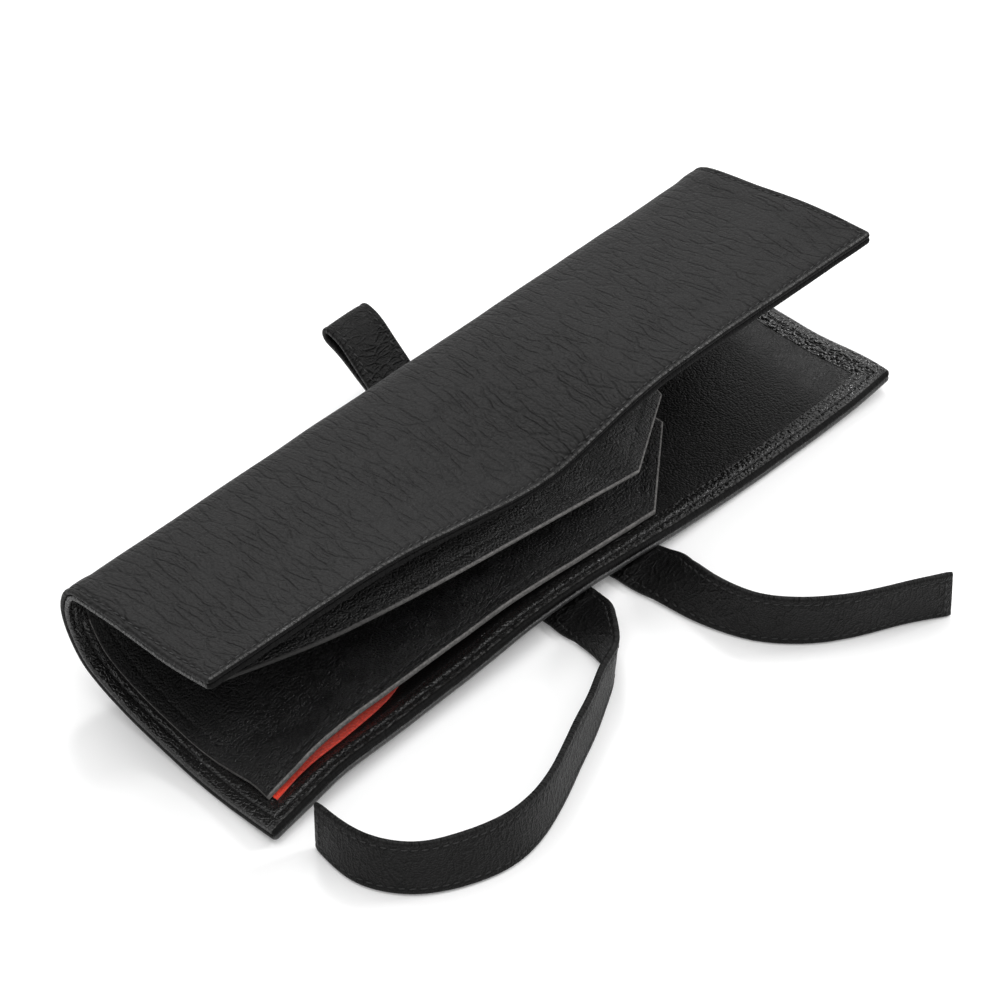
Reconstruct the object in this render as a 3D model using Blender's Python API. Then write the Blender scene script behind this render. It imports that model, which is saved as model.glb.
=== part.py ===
"""Fold-over leather pouch with a tie strap, built at rest as separate leather pieces.

Metres in the finished meshes, +Z up, X along the spine, +Y towards the spine.
All dimensions below are millimetres in the working frame: x along the spine, v back
from the front edge of the lower leaf, y measured from the same origin as the straps.
"""

import math

import bmesh
import bpy
import numpy as np

# ---- driving dimensions, mm -------------------------------------------------------
HALF_LENGTH = 105.0          # half the length along the spine
FRONT_Y = -44.3              # y of the lower leaf's front edge
Y_SHIFT = -3.07              # moves the case and its rear loop to be centred on y = 0

COVER = 1.2                  # outer leather
LAYER_GAP = 0.2              # between cover and what lies on it
LINING_IN = 2.0              # lining's inner face, from the cover's outer face
HEM_IN = 3.0                 # turned hem's inner face
PANEL_OUT = 2.3              # inner panel's hidden face
PANEL_IN = 3.5               # inner panel's seen face
SEAM = 0.15                  # half the gap between pieces that meet at a fold
HEM_WIDTH = 7.0              # front hems
HEM_LEFT_X = -97.8           # inner line of the left hems
HEM_RIGHT_X = 99.0           # inner line of the right hems
EDGE_GAP = 0.3               # between pieces that meet side by side
POCKET_DEPTH = 45.0          # pocket lining's rear edge, from the front edge
PANEL_RIGHT_X = 51.5         # right end of the inner panel
PANEL_CUT_X = 28.5           # where its slanted corner begins
STRAP_WIDTH = 14.0
STRAP_THICK = 1.6

SPINE_AXIS = (61.8, 10.5)    # v, z of the lower fold, on the cover's outer face
FLAP_AXIS = (67.4, 29.0)     # v, z of the upper fold
PANEL_LOWER_AXIS = (60.3, 12.2)
PANEL_UPPER_AXIS = (63.4, 27.9)

# Outer face of the cover at the left end, from the lower leaf's front edge round the
# spine to the flap's front edge, as (v, z), and the same points at the right end.
LEFT_END = [
    (0.0, 2.2), (8.0, 0.6), (20.0, 0.15), (34.0, 1.7), (47.0, 4.1), (56.5, 7.2),
    SPINE_AXIS,
    (64.6, 14.0), (67.4, 20.0), (68.2, 25.2),
    FLAP_AXIS,
    (65.1, 32.7), (59.3, 34.4), (48.0, 35.6), (32.0, 36.4), (16.6, 39.1),
]
RIGHT_END = [
    (0.0, 4.0), (7.0, 4.2), (18.0, 2.2), (32.0, 0.5), (46.0, 0.9), (56.0, 5.2),
    SPINE_AXIS,
    (64.8, 14.0), (67.4, 20.0), (68.2, 25.2),
    FLAP_AXIS,
    (65.7, 32.4), (58.7, 36.0), (44.9, 39.4), (28.0, 43.3), (8.5, 45.8),
]
# Height of the first five of those points along the length: the lower leaf rides up
# over the straps near the middle and its right corner curls up.
LEAF_X = [-105, -95, -80, -62, -38, -18, -8, 0, 12, 22, 30, 60, 90, 105]
LEAF_Z = [
    [1.4, 2.4, 4.2, 3.8, 4.6, 6.0, 5.8, 5.4, 4.2, 3.0, 2.0, 0.5, 1.2, 3.4],
    [0.5, 0.9, 2.0, 1.8, 2.9, 4.2, 4.1, 3.7, 3.0, 2.2, 1.6, 0.3, 1.2, 3.2],
    [0.15, 0.2, 0.5, 0.7, 1.6, 2.5, 2.6, 2.5, 2.4, 1.9, 1.2, 0.2, 0.5, 1.3],
    [1.7, 1.6, 1.6, 1.5, 1.6, 2.4, 2.4, 2.4, 2.4, 1.8, 1.2, 0.2, 0.2, 0.2],
    [4.1, 4.0, 3.9, 3.8, 3.7, 3.8, 3.8, 3.8, 3.8, 3.2, 2.4, 1.0, 0.9, 0.9],
]
REACH_X = [-105, -85, -62, -30, -20, 30, 45, 105]
REACH = [3.2, 1.6, 0.9, 0.6, 0.0, 0.0, 0.6, 1.3]   # its front edge bows forward by this
FLAP_DIP = 9.0               # the flap's front edge sags by this near the middle
FLAP_DIP_X = -3.0
FLAP_DIP_SPREAD = (34.0, 24.0)
FLAP_DIP_SHARE = [0.0] * 11 + [0.0, 0.0, 0.12, 0.5, 1.0]

COLUMNS = [
    -105, -97.8, -97.5, -88, -78, -68, -58, -48, -38, -28, -18, -8, 2, 12, 20,
    26, 26.3, 28.5, 36, 43, 50, 60, 70, 80, 90, 98.7, 99, 105,
]

LEATHER_BLACK = ("leather_pebbled", (0.035, 0.034, 0.034), 0.55)
LEATHER_LINING = ("leather_lining", (0.018, 0.017, 0.017), 0.6)
LEATHER_HEM = ("leather_hem", (0.03, 0.029, 0.029), 0.5)
LEATHER_PANEL = ("leather_panel", (0.022, 0.021, 0.021), 0.55)
LEATHER_STRAP = ("leather_strap", (0.028, 0.027, 0.027), 0.55)
SUEDE_RED = ("suede_red", (0.5, 0.03, 0.015), 0.95)


# ---- curves -------------------------------------------------------------------------
def through(keys, values, x):
    """Smooth curve through the values that never overshoots between two of them."""
    keys = np.asarray(keys, float)
    values = np.asarray(values, float)
    step = np.diff(keys)
    rise = np.diff(values) / step
    slope = np.zeros(len(keys))
    for i in range(1, len(keys) - 1):
        if rise[i - 1] * rise[i] > 0:
            slope[i] = 2 * rise[i - 1] * rise[i] / (rise[i - 1] + rise[i])
    slope[0] = rise[0]
    slope[-1] = rise[-1]
    i = int(np.clip(np.searchsorted(keys, x) - 1, 0, len(step) - 1))
    t = (x - keys[i]) / step[i]
    h00 = (1 + 2 * t) * (1 - t) ** 2
    h10 = t * (1 - t) ** 2
    h01 = t * t * (3 - 2 * t)
    h11 = t * t * (t - 1)
    return (h00 * values[i] + h10 * step[i] * slope[i]
            + h01 * values[i + 1] + h11 * step[i] * slope[i + 1])


def smooth(t):
    t = min(max(t, 0.0), 1.0)
    return t * t * (3 - 2 * t)


def spline(points, samples):
    """Natural cubic spline through points, as positions at the given knot numbers."""
    points = np.asarray(points, float)
    knots = np.concatenate(
        [[0.0], np.cumsum(np.linalg.norm(np.diff(points, axis=0), axis=1))]
    )
    n = len(points)
    h = np.diff(knots)
    a = np.zeros((n, n))
    b = np.zeros_like(points)
    a[0, 0] = 1
    a[-1, -1] = 1
    for i in range(1, n - 1):
        a[i, i - 1] = h[i - 1]
        a[i, i] = 2 * (h[i - 1] + h[i])
        a[i, i + 1] = h[i]
        b[i] = 6 * ((points[i + 1] - points[i]) / h[i]
                    - (points[i] - points[i - 1]) / h[i - 1])
    m = np.linalg.solve(a, b)
    at = np.interp(samples, np.arange(n), knots)
    i = np.clip(np.searchsorted(knots, at) - 1, 0, n - 2)
    left = ((knots[i + 1] - at) / h[i])[:, None]
    right = ((at - knots[i]) / h[i])[:, None]
    square = (h[i] ** 2)[:, None]
    return (left * points[i] + right * points[i + 1]
            + ((left ** 3 - left) * m[i] + (right ** 3 - right) * m[i + 1]) * square / 6)


# ---- the cover's outer face -----------------------------------------------------------
SECTIONS = {}


def section(x):
    """The cover's outer line at x: dense points, arc length, and where the folds are."""
    if x in SECTIONS:
        return SECTIONS[x]
    f = (x + HALF_LENGTH) / (2 * HALF_LENGTH)
    points = []
    spread = FLAP_DIP_SPREAD[0] if x < FLAP_DIP_X else FLAP_DIP_SPREAD[1]
    dip = FLAP_DIP * math.exp(-(((x - FLAP_DIP_X) / spread) ** 2))
    for i, (a, b) in enumerate(zip(LEFT_END, RIGHT_END)):
        v = a[0] + f * (b[0] - a[0])
        z = a[1] + f * (b[1] - a[1])
        if i < len(LEAF_Z):
            z = through(LEAF_X, LEAF_Z[i], x)
        if i < 2:
            v -= through(REACH_X, REACH, x) / (1 + i)
        points.append((v, z - dip * FLAP_DIP_SHARE[i]))
    count = len(points)
    samples = np.linspace(0, count - 1, 20 * (count - 1) + 1)
    line = spline(points, samples)
    length = np.concatenate(
        [[0.0], np.cumsum(np.linalg.norm(np.diff(line, axis=0), axis=1))]
    )
    lower = length[20 * LEFT_END.index(SPINE_AXIS)]
    upper = length[20 * LEFT_END.index(FLAP_AXIS)]
    SECTIONS[x] = (line, length, lower, upper)
    return SECTIONS[x]


def skin(x, s, depth):
    """A point depth mm inside the cover's outer face, s mm along the section at x."""
    line, length, _, _ = section(x)
    at = np.array([np.interp(s, length, line[:, k]) for k in (0, 1)])
    ahead = np.array([np.interp(s + 0.6, length, line[:, k]) for k in (0, 1)])
    behind = np.array([np.interp(s - 0.6, length, line[:, k]) for k in (0, 1)])
    t = ahead - behind
    t /= np.linalg.norm(t)
    inward = np.array([-t[1], t[0]])
    v, z = at + inward * depth
    return np.array([x, v + FRONT_Y, z])


def lower_rows(x):
    _, _, lower, _ = section(x)
    front = [0.0, 3.5, HEM_WIDTH, HEM_WIDTH + EDGE_GAP]
    middle = list(np.linspace(HEM_WIDTH + EDGE_GAP, POCKET_DEPTH, 7))[1:]
    rear = list(np.linspace(POCKET_DEPTH + EDGE_GAP, lower - SEAM, 5))
    return front + middle + rear


def spine_rows(x):
    _, _, lower, upper = section(x)
    return list(np.linspace(lower + SEAM, upper - SEAM, 6))


def flap_rows(x):
    _, length, _, upper = section(x)
    end = length[-1]
    start = end - HEM_WIDTH - EDGE_GAP
    share = [0.0, 0.05, 0.11, 0.18, 0.28, 0.42, 0.6, 0.8, 1.0]
    first = upper + SEAM
    rows = [first + k * (start - first) for k in share]
    return rows + [end - HEM_WIDTH, end - 3.5, end]


# ---- meshes ---------------------------------------------------------------------------
MATERIALS = {}


def material(spec):
    name, colour, roughness = spec
    if name not in MATERIALS:
        mat = bpy.data.materials.new(name)
        mat.use_nodes = True
        shader = mat.node_tree.nodes["Principled BSDF"]
        shader.inputs["Base Color"].default_value = (*colour, 1.0)
        shader.inputs["Roughness"].default_value = roughness
        mat.diffuse_color = (*colour, 1.0)
        MATERIALS[name] = mat
    return MATERIALS[name]


def to_row(point):
    x, y, z = point
    return np.array([x, y + Y_SHIFT, z]) * 0.001


def finish_mesh(name, spec, verts, faces, origin):
    """One closed body from points in mm, with its own origin, as a node."""
    base = to_row(origin)
    mesh = bpy.data.meshes.new(name)
    mesh.from_pydata([tuple(to_row(p) - base) for p in verts], [], faces)
    bm = bmesh.new()
    bm.from_mesh(mesh)
    bmesh.ops.recalc_face_normals(bm, faces=bm.faces)
    if bm.calc_volume(signed=True) < 0:
        bmesh.ops.reverse_faces(bm, faces=bm.faces)
    bm.to_mesh(mesh)
    bm.free()
    mesh.shade_smooth()
    mesh.set_sharp_from_angle(angle=math.radians(40))
    mesh.materials.append(material(spec))
    node = bpy.data.objects.new(name, mesh)
    node.location = tuple(base)
    bpy.context.scene.collection.objects.link(node)
    return node


def slab(name, spec, outer, inner, origin, keep=None):
    """Closed body between two grids of points, [column][row], leaving out some cells."""
    columns = len(outer)
    rows = len(outer[0])
    verts = []
    index = {}

    def vertex(side, c, r):
        key = (side, c, r)
        if key not in index:
            index[key] = len(verts)
            verts.append((outer if side == 0 else inner)[c][r])
        return index[key]

    cells = [
        (c, r)
        for c in range(columns - 1)
        for r in range(rows - 1)
        if keep is None or keep(c, r)
    ]
    faces = []
    edges = {}
    for c, r in cells:
        ring = [(c, r), (c + 1, r), (c + 1, r + 1), (c, r + 1)]
        for corners in (ring[:3], [ring[0], ring[2], ring[3]]):
            # one diagonal throughout, so that layers stay parallel
            faces.append([vertex(0, *p) for p in corners])
            faces.append([vertex(1, *p) for p in reversed(corners)])
        for a, b in zip(ring, ring[1:] + ring[:1]):
            edges[(a, b)] = True
    for a, b in edges:
        if (b, a) not in edges:
            faces.append([vertex(0, *b), vertex(0, *a), vertex(1, *a), vertex(1, *b)])
    return finish_mesh(name, spec, verts, faces, origin)


def on_skin(name, spec, columns, rows, depth_out, depth_in, origin, keep=None):
    outer = [[skin(x, s, depth_out) for s in rows(x)] for x in columns]
    inner = [[skin(x, s, depth_in) for s in rows(x)] for x in columns]
    return slab(name, spec, outer, inner, origin, keep)


def between(low, high):
    return [float(x) for x in COLUMNS if low - 0.01 <= x <= high + 0.01]


def take(rows, first, last):
    """The rows numbered first to last of a list of rows."""
    return lambda x: rows(x)[first:last + 1]


def ribbon(name, stations, steps, origin, floor=0.15, thick=STRAP_THICK):
    """A flat strap through pairs of edge points, kept above the floor height."""
    count = len(stations)
    samples = np.linspace(0, count - 1, steps + 1)
    if steps == count - 1:
        low = np.array([q for q, _ in stations], float)
        high = np.array([p for _, p in stations], float)
    else:
        low = spline([q for q, _ in stations], samples)
        high = spline([p for _, p in stations], samples)
    verts = []
    faces = []
    for i in range(steps + 1):
        before = max(i - 1, 0)
        after = min(i + 1, steps)
        t = (low[after] + high[after]) - (low[before] + high[before])
        across = high[i] - low[i]
        middle = (high[i] + low[i]) / 2
        across = across / np.linalg.norm(across) * STRAP_WIDTH / 2
        n = np.cross(t, across)
        n = n / np.linalg.norm(n) * thick / 2
        ring = [
            middle - across - n, middle + across - n,
            middle + across + n, middle - across + n,
        ]
        lift = max(floor - min(p[2] for p in ring), 0.0)
        verts.extend(p + np.array([0, 0, lift]) for p in ring)
    for i in range(steps):
        a = 4 * i
        for k in range(4):
            m = (k + 1) % 4
            faces.append([a + k, a + m, a + 4 + m, a + 4 + k])
    faces.append([3, 2, 1, 0])
    last = 4 * steps
    faces.append([last, last + 1, last + 2, last + 3])
    return finish_mesh(name, LEATHER_STRAP, verts, faces, origin)


# ---- inner panel ------------------------------------------------------------------------
def panel_columns():
    return between(-97.5, 50.0) + [PANEL_RIGHT_X]


def panel_front(x):
    """Distance of the panel's front edge from the lower leaf's, with its cut corner."""
    cut = max(x - PANEL_CUT_X, 0.0)
    return HEM_WIDTH + EDGE_GAP + cut * 19.5 / (PANEL_RIGHT_X - PANEL_CUT_X)


def panel_lift(x, s):
    """How far the lower panel stands off the lining: a bowed front and a raised end."""
    bow = through(
        [-97.5, -90, -82, -76, -68, -58, -48, -38, -24, -10, 4, 20, 60],
        [0.0, 1.8, 2.7, 3.2, 3.6, 3.4, 3.0, 2.6, 1.7, 0.9, 0.4, 0.1, 0.0],
        x,
    )
    bow *= 1 - smooth((s - HEM_WIDTH) / 26)
    end = 2.7 * smooth((x - PANEL_CUT_X) / (PANEL_RIGHT_X - PANEL_CUT_X))
    end *= 1 - smooth((s - 30) / 24)
    return max(bow, end)


def panel_rows(x):
    _, _, lower, _ = section(x)
    front = list(np.linspace(panel_front(x), POCKET_DEPTH, 7))
    rear = list(np.linspace(POCKET_DEPTH + EDGE_GAP, lower - SEAM, 5))[1:]
    return front + rear


def build_panel_lower(origin):
    columns = panel_columns()
    outer = []
    inner = []
    for x in columns:
        rows = panel_rows(x)
        outer.append([skin(x, s, PANEL_OUT + panel_lift(x, s)) for s in rows])
        inner.append([skin(x, s, PANEL_IN + panel_lift(x, s)) for s in rows])
    return slab("panel_lower", LEATHER_PANEL, outer, inner, origin)


UPPER_FRONT_X = [-97.5, -63.0, -18.0, 28.5, 51.5]
UPPER_FRONT_V = [22.5, 16.5, 13.5, 12.6, 27.0]
UPPER_FRONT_Z = [29.4, 24.5, 20.0, 14.2, 14.6]


def build_panel_upper(origin):
    """Hangs from the upper fold and droops away from the flap towards its right end."""
    columns = panel_columns()
    outer = []
    inner = []
    for x in columns:
        if x <= PANEL_CUT_X:
            v = through(UPPER_FRONT_X[:4], UPPER_FRONT_V[:4], x)
            z = through(UPPER_FRONT_X[:4], UPPER_FRONT_Z[:4], x)
        else:
            k = (x - PANEL_CUT_X) / (PANEL_RIGHT_X - PANEL_CUT_X)
            v = UPPER_FRONT_V[3] + k * (UPPER_FRONT_V[4] - UPPER_FRONT_V[3])
            z = UPPER_FRONT_Z[3] + k * (UPPER_FRONT_Z[4] - UPPER_FRONT_Z[3])
        rear = np.array([63.2, 27.6])
        front = np.array([v, z])
        run = front - rear
        side = np.array([-run[1], run[0]])
        side /= np.linalg.norm(side)
        line_out = []
        line_in = []
        for k in np.linspace(0, 1, 7):
            sag = 1.6 * math.sin(math.pi * k)
            point = rear + run * k - side * sag
            line_out.append(point - side * 0.6)
            line_in.append(point + side * 0.6)
        outer.append([np.array([x, p[0] + FRONT_Y, p[1]]) for p in line_out])
        inner.append([np.array([x, p[0] + FRONT_Y, p[1]]) for p in line_in])
    return slab("panel_upper", LEATHER_PANEL, outer, inner, origin)


# ---- strap --------------------------------------------------------------------------------
TAIL_LEFT = [
    ((-13.4, -44.6, 0.9), (-0.5, -47.6, 4.7)),
    ((-12.9, -48.0, 0.6), (-4.2, -53.0, 7.6)),
    ((-12.7, -52.0, 0.6), (-8.0, -58.0, 10.4)),
    ((-12.9, -58.5, 0.3), (-11.8, -62.8, 12.6)),
    ((-14.6, -64.0, 0.3), (-16.0, -66.6, 13.8)),
    ((-19.8, -68.0, 0.3), (-21.4, -68.6, 13.9)),
    ((-28.5, -73.0, 0.3), (-29.4, -72.6, 14.0)),
    ((-41.0, -79.0, 0.3), (-41.0, -77.8, 14.0)),
    ((-56.0, -85.7, 0.3), (-56.0, -84.2, 14.0)),
    ((-68.7, -88.6, 0.3), (-68.7, -85.6, 14.0)),
    ((-84.0, -84.8, 0.3), (-81.6, -82.0, 13.8)),
    ((-93.2, -78.4, 0.3), (-90.6, -76.8, 13.9)),
    ((-99.2, -67.8, 0.3), (-96.6, -67.1, 14.0)),
    ((-98.6, -54.0, 0.3), (-97.9, -53.3, 14.2)),
]
TAIL_RIGHT = [
    ((8.6, -45.6, 0.9), (22.0, -48.3, 4.3)),
    ((10.0, -54.5, 0.3), (18.2, -58.9, 10.5)),
    ((12.0, -65.5, 0.3), (16.4, -67.4, 13.2)),
    ((17.1, -79.0, 0.3), (18.4, -78.2, 14.0)),
    ((25.5, -89.2, 0.3), (26.0, -88.3, 14.2)),
    ((35.9, -96.1, 0.3), (35.9, -95.9, 14.2)),
    ((45.5, -100.6, 0.3), (45.5, -101.0, 14.2)),
    ((56.2, -107.0, 0.3), (55.9, -106.6, 14.2)),
]
LEG_LEFT = [
    ((-13.6, -44.2, 0.8), (-0.2, -46.9, 4.1)),
    ((-13.6, -40.0, 0.8), (0.3, -41.0, 2.6)),
    ((-13.0, -28.0, 0.8), (1.0, -28.0, 0.8)),
    ((-13.0, -14.0, 0.8), (1.0, -14.0, 0.8)),
    ((-11.4, -4.0, 0.8), (2.6, -4.4, 0.8)),
    ((-8.4, 3.4, 2.2), (5.3, 2.2, 2.4)),
    ((-5.4, 9.0, 2.7), (8.2, 7.4, 2.7)),
    ((-1.6, 15.2, 2.8), (11.8, 13.8, 2.8)),
]
# This one lies flat behind its first stretch, so the case has a true face to rest on.
LEG_RIGHT = [
    ((8.5, -45.1, 0.8), (22.2, -47.2, 2.3)),
    ((8.3, -42.4, 0.8), (22.2, -43.8, 1.0)),
    ((8.2, -40.0, 0.8), (22.2, -40.9, 0.8)),
    ((8.1, -38.0, 0.8), (22.1, -38.9, 0.8)),
    ((4.5, 15.0, 0.8), (18.5, 14.1, 0.8)),
]
# Middle line of the rear loop as (x, y, z), out along the lower layer and back.
LOOP = [
    (11.5, 15.4, 1.0), (11.5, 20.0, 2.0), (11.4, 27.0, 5.2), (11.4, 35.0, 9.6),
    (11.4, 43.0, 14.2), (11.4, 49.6, 17.6), (11.4, 52.6, 19.4), (11.4, 52.4, 21.2),
    (11.4, 50.2, 21.5), (11.0, 43.0, 18.2), (10.2, 35.0, 13.5), (9.0, 27.0, 8.9),
    (7.0, 20.0, 5.2), (5.5, 15.9, 3.9),
]


def build():
    rest = (0.0, 0.0, 0.0)
    spine = (0.0, SPINE_AXIS[0] + FRONT_Y, SPINE_AXIS[1])
    flap = (0.0, FLAP_AXIS[0] + FRONT_Y, FLAP_AXIS[1])
    lower_panel = (0.0, PANEL_LOWER_AXIS[0] + FRONT_Y, PANEL_LOWER_AXIS[1])
    upper_panel = (0.0, PANEL_UPPER_AXIS[0] + FRONT_Y, PANEL_UPPER_AXIS[1])
    everywhere = between(-105, 105)
    inside = between(-97.5, 98.7)
    left = between(-105, HEM_LEFT_X)
    right = between(HEM_RIGHT_X, 105)
    hem_out = COVER + LAYER_GAP

    # cover, one piece of leather cut here at its two folds
    on_skin("cover_lower_leaf", LEATHER_BLACK, everywhere, lower_rows, 0, COVER, rest)
    on_skin("cover_spine", LEATHER_BLACK, everywhere, spine_rows, 0, COVER, spine)
    on_skin("cover_flap", LEATHER_BLACK, everywhere, flap_rows, 0, COVER, flap)

    # turned hems
    on_skin("hem_lower_front", LEATHER_HEM, everywhere, take(lower_rows, 0, 2),
            hem_out, HEM_IN, rest)
    behind_hem = take(lower_rows, 3, 99)
    on_skin("hem_lower_left", LEATHER_HEM, left, behind_hem, hem_out, HEM_IN, rest)
    on_skin("hem_lower_right", LEATHER_HEM, right, behind_hem, hem_out, HEM_IN, rest)
    on_skin("hem_spine_left", LEATHER_HEM, left, spine_rows, hem_out, HEM_IN, spine)
    on_skin("hem_spine_right", LEATHER_HEM, right, spine_rows, hem_out, HEM_IN, spine)
    flap_body = take(flap_rows, 0, 8)
    on_skin("hem_flap_left", LEATHER_HEM, left, flap_body, hem_out, HEM_IN, flap)
    on_skin("hem_flap_right", LEATHER_HEM, right, flap_body, hem_out, HEM_IN, flap)
    on_skin("hem_flap_front", LEATHER_HEM, everywhere, take(flap_rows, 9, 11),
            hem_out, HEM_IN, flap)

    # linings: the lower leaf's is cut away where the pocket lining lies
    pocket_end = inside.index(26.3)
    on_skin("lining_lower_leaf", LEATHER_LINING, inside, behind_hem,
            hem_out, LINING_IN, rest, keep=lambda c, r: c >= pocket_end or r >= 7)
    on_skin("pocket_lining_lower", SUEDE_RED, between(-97.5, 26), take(lower_rows, 3, 9),
            hem_out, LINING_IN, rest)
    on_skin("lining_spine", LEATHER_LINING, inside, spine_rows, hem_out, LINING_IN, spine)
    on_skin("lining_flap", LEATHER_LINING, inside, flap_body, hem_out, LINING_IN, flap)

    # inner panel, one piece cut here at the folds
    build_panel_lower(lower_panel)
    on_skin("panel_spine", LEATHER_PANEL, panel_columns(), take(spine_rows, 0, 4),
            PANEL_OUT, PANEL_IN, spine)
    build_panel_upper(upper_panel)

    # tie strap
    ribbon("strap_leg_left", LEG_LEFT, 21, rest, floor=0.0)
    ribbon("strap_leg_right", LEG_RIGHT, len(LEG_RIGHT) - 1, rest, floor=0.0)
    ribbon("strap_tail_left", TAIL_LEFT, 52, rest)
    ribbon("strap_tail_right", TAIL_RIGHT, 35, rest)
    half = STRAP_WIDTH / 2
    turn = [((x - half, y, z), (x + half, y, z)) for x, y, z in LOOP]
    ribbon("strap_loop_rear", turn, 52, rest)


for old in list(bpy.data.objects):
    bpy.data.objects.remove(old, do_unlink=True)
build()
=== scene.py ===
"""Looks of the fold-over leather pouch and its tie strap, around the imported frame.

Helper tables are in millimetres in the working frame of the CAD: x along the spine, v back
from the lower leaf's front edge, s along the leather's outer face, depth into the leather.
"""

import math

import bpy
import numpy as np
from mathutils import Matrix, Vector, noise


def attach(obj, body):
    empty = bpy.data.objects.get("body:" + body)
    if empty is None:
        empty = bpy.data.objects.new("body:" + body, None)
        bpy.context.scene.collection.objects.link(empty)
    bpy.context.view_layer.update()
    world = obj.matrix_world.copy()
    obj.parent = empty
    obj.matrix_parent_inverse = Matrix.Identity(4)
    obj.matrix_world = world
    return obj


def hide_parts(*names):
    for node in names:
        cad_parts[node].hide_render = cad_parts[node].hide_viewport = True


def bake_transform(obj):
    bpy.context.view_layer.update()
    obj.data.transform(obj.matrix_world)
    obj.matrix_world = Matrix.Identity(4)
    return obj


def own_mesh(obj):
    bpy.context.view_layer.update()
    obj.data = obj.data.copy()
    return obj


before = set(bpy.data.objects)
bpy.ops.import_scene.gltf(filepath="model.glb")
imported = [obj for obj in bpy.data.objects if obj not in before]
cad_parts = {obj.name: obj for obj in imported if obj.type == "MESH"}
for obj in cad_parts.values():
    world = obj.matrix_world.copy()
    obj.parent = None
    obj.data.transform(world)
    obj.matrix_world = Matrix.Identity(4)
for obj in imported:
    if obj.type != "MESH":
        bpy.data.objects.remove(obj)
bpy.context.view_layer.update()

# ---- the leather's outer face, as in the CAD ----
HALF_LENGTH = 105.0
FRONT_Y = -44.3              # working y of v = 0
Y_SHIFT = -3.07              # from the working frame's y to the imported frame's
SPINE_FOLD = (61.8, 10.5)
FLAP_FOLD = (67.4, 29.0)
# (v, z) stations of the outer face at the case's ends, from the lower leaf to the flap
LEFT_END = [
    (0.0, 2.2), (8.0, 0.6), (20.0, 0.15), (34.0, 1.7), (47.0, 4.1), (56.5, 7.2),
    SPINE_FOLD, (64.6, 14.0), (67.4, 20.0), (68.2, 25.2), FLAP_FOLD,
    (65.1, 32.7), (59.3, 34.4), (48.0, 35.6), (32.0, 36.4), (16.6, 39.1),
]
RIGHT_END = [
    (0.0, 4.0), (7.0, 4.2), (18.0, 2.2), (32.0, 0.5), (46.0, 0.9), (56.0, 5.2),
    SPINE_FOLD, (64.8, 14.0), (67.4, 20.0), (68.2, 25.2), FLAP_FOLD,
    (65.7, 32.4), (58.7, 36.0), (44.9, 39.4), (28.0, 43.3), (8.5, 45.8),
]
# heights of the lower leaf's first stations, one row each, at these x
LEAF_X = [-105, -95, -80, -62, -38, -18, -8, 0, 12, 22, 30, 60, 90, 105]
LEAF_Z = [
    [1.4, 2.4, 4.2, 3.8, 4.6, 6.0, 5.8, 5.4, 4.2, 3.0, 2.0, 0.5, 1.2, 3.4],
    [0.5, 0.9, 2.0, 1.8, 2.9, 4.2, 4.1, 3.7, 3.0, 2.2, 1.6, 0.3, 1.2, 3.2],
    [0.15, 0.2, 0.5, 0.7, 1.6, 2.5, 2.6, 2.5, 2.4, 1.9, 1.2, 0.2, 0.5, 1.3],
    [1.7, 1.6, 1.6, 1.5, 1.6, 2.4, 2.4, 2.4, 2.4, 1.8, 1.2, 0.2, 0.2, 0.2],
    [4.1, 4.0, 3.9, 3.8, 3.7, 3.8, 3.8, 3.8, 3.8, 3.2, 2.4, 1.0, 0.9, 0.9],
]
# how far the lower leaf's front edge comes forward
REACH_X = [-105, -85, -62, -30, -20, 30, 45, 105]
REACH = [3.2, 1.6, 0.9, 0.6, 0.5, 0.5, 0.6, 1.3]
# the flap's front edge sags round one x, by a share of the dip at each station
FLAP_DIP = 9.0
FLAP_DIP_X = -3.0
FLAP_DIP_SPREAD = (34.0, 24.0)
FLAP_DIP_SHARE = [0.0] * 13 + [0.12, 0.5, 1.0]
SECTION_FINE = 20            # samples between two stations
SLOPE_STEP = 0.8             # either side of a point, to find the face's direction

COVER_THICK = 1.45
HEM_BED = 1.5                # where the hem and the lining start
HEM_TOP = 3.05
LINING_TOP = 2.05
HEM_LEFT, HEM_RIGHT, HEM_FRONT = 7.3, 6.0, 7.0
RIM = 0.72                   # radius of the leather's rounded edges
FAR = 99.0                   # further back than any edge
FLAP_STITCH = 1.7            # stitch row on the flap, from the rolled edge
LEAF_STITCH = 3.4            # stitch row on the lower leaf's hem


def through(keys, values, x):
    """Smooth curve through the values, with no overshoot between them."""
    keys = np.asarray(keys, float)
    values = np.asarray(values, float)
    step = np.diff(keys)
    rise = np.diff(values) / step
    slope = np.zeros(len(keys))
    for i in range(1, len(keys) - 1):
        if rise[i - 1] * rise[i] > 0:
            slope[i] = 2 * rise[i - 1] * rise[i] / (rise[i - 1] + rise[i])
    slope[0] = rise[0]
    slope[-1] = rise[-1]
    i = int(np.clip(np.searchsorted(keys, x) - 1, 0, len(step) - 1))
    t = (x - keys[i]) / step[i]
    return ((1 + 2 * t) * (1 - t) ** 2 * values[i] + t * (1 - t) ** 2 * step[i] * slope[i]
            + t * t * (3 - 2 * t) * values[i + 1] + t * t * (t - 1) * step[i] * slope[i + 1])


def smooth(t):
    """Eased step from 0 to 1."""
    t = min(max(t, 0.0), 1.0)
    return t * t * (3 - 2 * t)


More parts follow.
